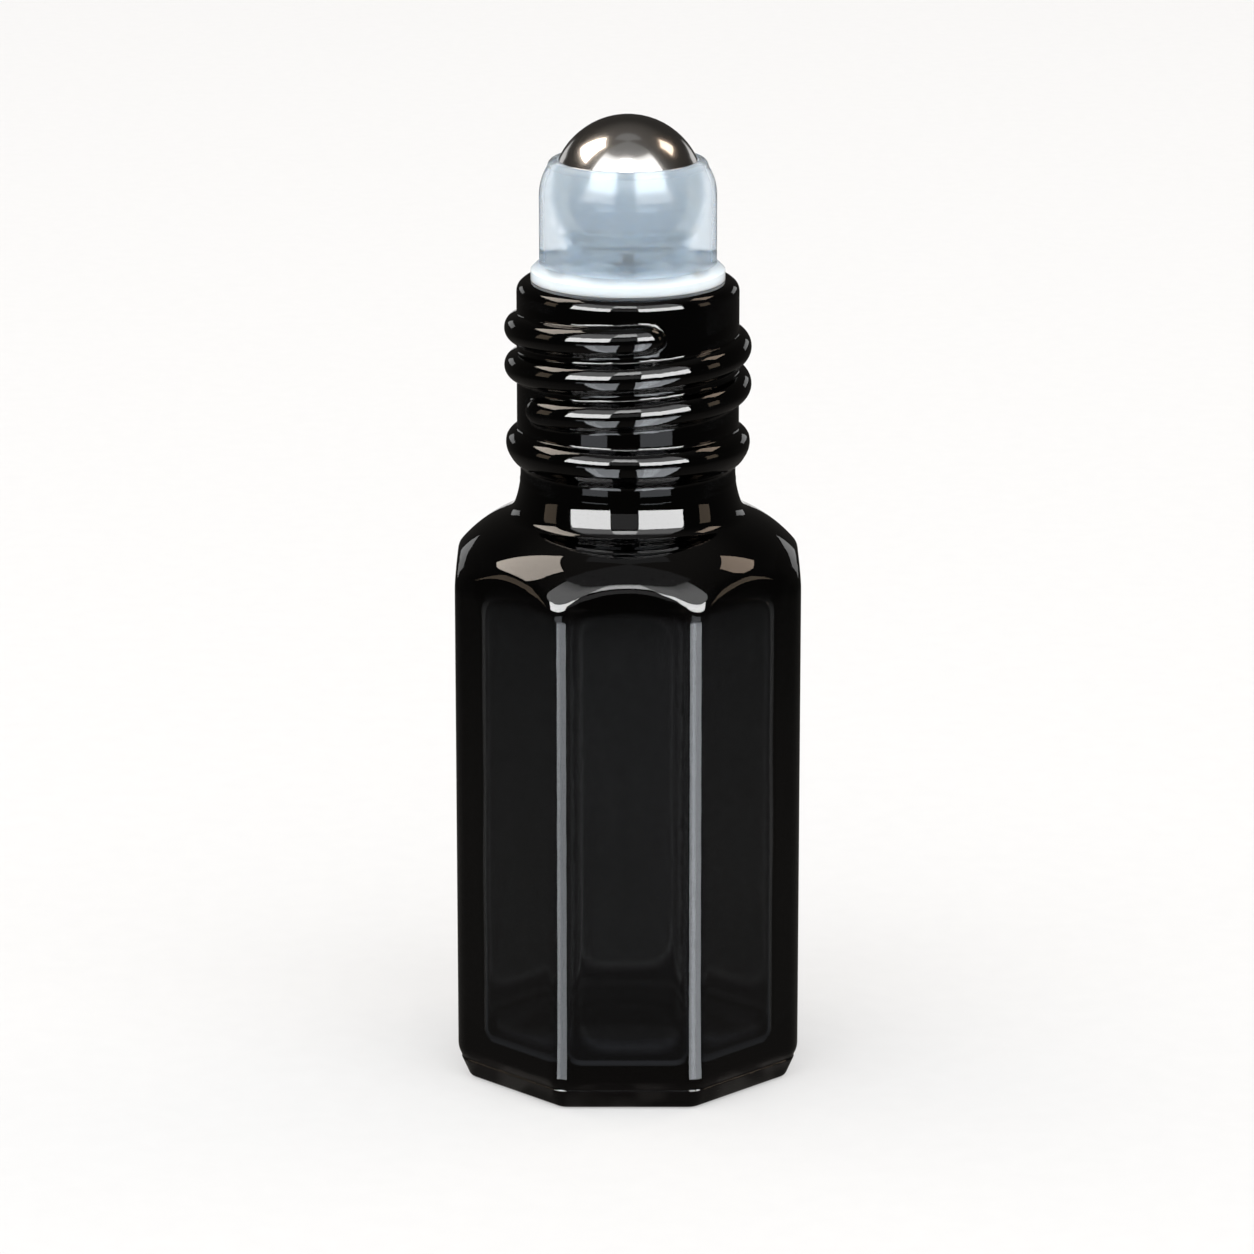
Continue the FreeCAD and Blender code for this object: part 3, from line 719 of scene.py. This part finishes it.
def softbox_face(name, azimuths, elevations, radiance, colour="#ffffff", full_to=None, seen_through=0):
    """The lit face of a softbox as the glass and the steel mirror it, full up to an elevation."""
    columns = 9
    middle = Vector((0, 0, LIP_LEVEL * 0.7))
    points = []
    for elevation in np.linspace(*elevations, columns):
        for azimuth in np.linspace(*azimuths, columns):
            points.append(middle + heading(azimuth, elevation) * LIGHT_DISTANCE)
    fade = None
    if full_to:
        ends = (full_to, elevations[1])
        fade = [middle.z + LIGHT_DISTANCE * math.sin(math.radians(one)) for one in ends]
    lit_panel(name, points, columns, colour, radiance, fade)
    if seen_through:
        # the milky housing shows the same softbox on the ball, only much weaker
        face = lit_panel(name + "_through", points, columns, colour, seen_through, fade)
        face.visible_transmission = True
        face.visible_glossy = False


def floor_panel(name, side, azimuths, near, far, radiance, seen_through=0):
    """A lit strip on the floor, fanned out from the bottle's corner that mirrors it."""
    columns = 9
    corner = Vector((side * CORNER_MIDDLE, CORNER_ROUND - FLAT_REACH, 0))
    points = []
    for distance in (near, far):
        points += [corner + heading(azimuth) * distance for azimuth in np.linspace(*azimuths, columns)]
    lit_panel(name, points, columns, "#f4f9ff", radiance)
    if seen_through:
        face = lit_panel(name + "_through", points, columns, "#f4f9ff", seen_through)
        face.visible_transmission = True
        face.visible_glossy = False


def make_camera():
    camera = bpy.data.cameras.new("photo_camera")
    camera.lens = CAMERA_LENS
    camera.sensor_width = SENSOR_WIDTH
    camera.clip_start = 0.01
    item = bpy.data.objects.new("photo_camera", camera)
    item.location = CAMERA_PLACE
    item.rotation_euler = (CAMERA_AIM - CAMERA_PLACE).to_track_quat("-Z", "Y").to_euler()
    bpy.context.scene.collection.objects.link(item)
    bpy.context.scene.camera = item


def make_bottle():
    angles = column_angles()
    outside = list(outside_rings(angles))
    rings = outside + list(inside_rings(angles))
    bottle = closed_turning("black_glass_bottle", angles, rings, PUSHUP_DEPTH, INSIDE_FLOOR)
    outside_count = 1 + len(angles) * sum(len(part[0]) for part in outside)
    places = np.array([vertex.co for vertex in bottle.data.vertices])
    blown = np.zeros(len(places))
    blown[outside_count:] = 1
    # painted light map for the inside's tint; the outside keeps 1, plain
    painted_light = np.ones(len(places))
    painted_light[outside_count:] = window_painted_light(places[outside_count:])
    for name, values in (("blown_inside", blown), ("window_painted_light", painted_light)):
        bottle.data.attributes.new(name, "FLOAT", "POINT").data.foreach_set("value", values)
    bottle.data.materials.append(black_glass())
    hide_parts("glass_bottle")
    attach(bottle, "bottle")


def dress_node(name, material):
    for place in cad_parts[name].material_slots:
        place.material = material


make_bottle()
dress_node("roller_housing", natural_polyethylene())
dress_node("roller_ball", polished_steel())

make_camera()
make_floor()
make_world()
make_dark_studio()
make_grey_room()
softbox("front_left_lamp", -35, 55, 40, 26, 3.8)
softbox("front_right_lamp", 35, 55, 40, 26, 3.8)
softbox("left_lamp", -105, 52, 36, 26, 2.4, "#fff2e4")
softbox("right_lamp", 112, 46, 28, 22, 2.4, "#ffe6cf")
softbox_face("front_left_box", (-62, -18), (4, 30), 16.0, seen_through=3.0)
softbox_face("front_right_box", (11, 60), (4, 30), 16.0, seen_through=3.0)
softbox_face("left_canopy", (-66, -18), (31, 72), 2.2, full_to=50, seen_through=2.0)
softbox_face("right_canopy", (11, 64), (31, 72), 2.2, full_to=50, seen_through=2.0)
softbox_face("front_link", (-18, 11), (38, 68), 8.0, full_to=50, seen_through=1.2)
softbox_face("low_front_link", (-18, 11), (8, 30), 0.5)
softbox_face("top_glow", (-70, 70), (60, 106), 0.25)
softbox_face("left_rim", (-156, -138), (2, 13), 0.8)
softbox_face("right_rim", (138, 156), (2, 13), 0.8)
softbox_face("left_key", (-124, -86), (34, 64), 6.0, "#fff2e4")
softbox_face("left_low_key", (-95, -79), (0, 22), 1.2, "#e2cdb4")
softbox_face("right_key", (102, 124), (37, 53), 3.2, "#ffe6cf")
softbox_face("right_low_key", (79, 93), (0, 20), 1.3, "#e2cdb4")
floor_panel("left_strip_panel", -1, (-42, -6), 5 * MM, 100 * MM, 3.9)
floor_panel("right_strip_panel", 1, (6, 52), 5 * MM, 100 * MM, 4.8)
floor_panel("left_core_panel", -1, (-42, -30), 5 * MM, 100 * MM, 6.0)
floor_panel("right_core_panel", 1, (14, 30), 5 * MM, 100 * MM, 8.0)
floor_panel("left_neck_panel", -1, (-50, -21), 100 * MM, 160 * MM, 1.2, seen_through=1.2)
floor_panel("right_neck_panel", 1, (12, 47), 100 * MM, 160 * MM, 1.2, seen_through=1.2)

scene = bpy.context.scene
scene.view_settings.view_transform = "Standard"
